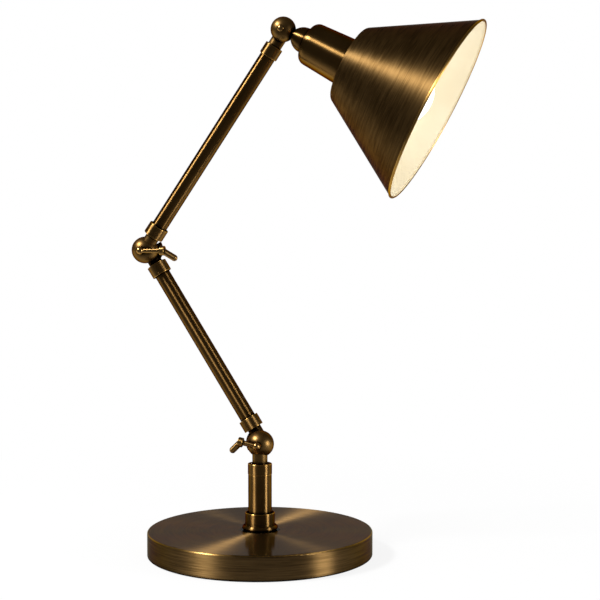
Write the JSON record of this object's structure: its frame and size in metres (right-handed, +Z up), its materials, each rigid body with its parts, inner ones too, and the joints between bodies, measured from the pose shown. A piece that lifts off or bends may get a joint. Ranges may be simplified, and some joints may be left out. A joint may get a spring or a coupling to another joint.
{
  "type": "swing arm table lamp",
  "caption": "Antique brass swing arm table lamp with a weighted round base, two arms on clamped ball knuckles with levers, and a tilting conical shade with a lit bulb",
  "frame": {"origin": "middle of the underside of the base pad, on the stem's axis", "axes": "+Z up along the stem; the arms lie parallel to the XZ plane with the head pointing to +X; the clamp levers are on the -Y side"},
  "size_m": [0.3154, 0.2012, 0.4729],
  "materials": {
    "antique_brass": "polished antique brass, darkened and lacquered",
    "brushed_brass": "antique brass brushed round the axis, lacquered",
    "plain_brass": "turned brass",
    "iron": "rough cast",
    "steel": "zinc plated",
    "felt": "black felt",
    "rubber": "black moulded",
    "fibre": "brown vulcanised fibre",
    "porcelain": "white heat-proof moulding",
    "bulb_glass": "white diffusing glass"
  },
  "bodies": {
    "base": {"base_cover": "brushed_brass", "base_weight": "iron", "base_pad": "felt", "cord_inlet_bush": "rubber", "base_pipe": "steel", "base_washer": "steel", "base_nut": "steel", "stem_bead": "antique_brass", "stem_collar": "antique_brass", "stem_tube": "antique_brass", "stem_anchor": "plain_brass", "swivel_bush": "plain_brass", "swivel_stop": "steel"},
    "swivel": {"stem_cap": "antique_brass", "swivel_spindle": "plain_brass", "swivel_nut": "steel", "stem_half_ball": "antique_brass", "lower_friction_washer": "fibre"},
    "lower_clamp": {"lower_clamp_screw": "plain_brass", "lower_lever": "antique_brass", "lower_grip": "antique_brass"},
    "lower_arm": {"lower_arm_half_ball": "antique_brass", "lower_arm_bottom_ferrule": "antique_brass", "lower_arm_tube": "antique_brass", "lower_arm_top_ferrule": "antique_brass", "elbow_far_half_ball": "antique_brass"},
    "elbow_clamp": {"elbow_clamp_screw": "plain_brass", "elbow_lever": "antique_brass", "elbow_grip": "antique_brass"},
    "upper_arm": {"elbow_near_half_ball": "antique_brass", "elbow_friction_washer": "fibre", "upper_arm_bottom_ferrule": "antique_brass", "upper_arm_tube": "antique_brass", "upper_arm_top_ferrule": "antique_brass", "upper_arm_half_ball": "antique_brass"},
    "head": {"head_half_ball": "antique_brass", "top_friction_washer": "fibre", "top_pivot_screw": "antique_brass", "head_dome": "antique_brass", "cup": "brushed_brass", "cup_nut": "steel", "lampholder_cap": "porcelain", "lampholder_body": "porcelain", "lampholder_shell": "plain_brass", "lampholder_contact": "plain_brass", "shade": "brushed_brass", "shade_ring": "porcelain", "bulb_cap": "plain_brass", "bulb_glass": "bulb_glass"}
  },
  "joints": [
    {"name": "swing", "type": "hinge", "parent": "base", "child": "swivel", "pos_m": [0, 0, 0.0776], "axis": [0, 0, 1], "range_deg": [-160, 160]},
    {"name": "lower_arm_tilt", "type": "hinge", "parent": "swivel", "child": "lower_arm", "pos_m": [0, 0.0022, 0.099], "axis": [0, 1, 0], "range_deg": [-43, 70]},
    {"name": "lower_clamp_turn", "type": "hinge", "parent": "swivel", "child": "lower_clamp", "pos_m": [0, 0.0022, 0.099], "axis": [0, 1, 0], "range_deg": [-25, 100]},
    {"name": "elbow", "type": "hinge", "parent": "lower_arm", "child": "upper_arm", "pos_m": [-0.10618, 0.0022, 0.27025], "axis": [0, -1, 0], "range_deg": [-39, 65.7]},
    {"name": "elbow_clamp_turn", "type": "hinge", "parent": "upper_arm", "child": "elbow_clamp", "pos_m": [-0.10618, 0.0022, 0.27025], "axis": [0, 1, 0], "range_deg": [-10, 120]},
    {"name": "head_tilt", "type": "hinge", "parent": "upper_arm", "child": "head", "pos_m": [0.02282, -0.0055, 0.46187], "axis": [0, 1, 0], "range_deg": [-75, 20]}
  ]
}
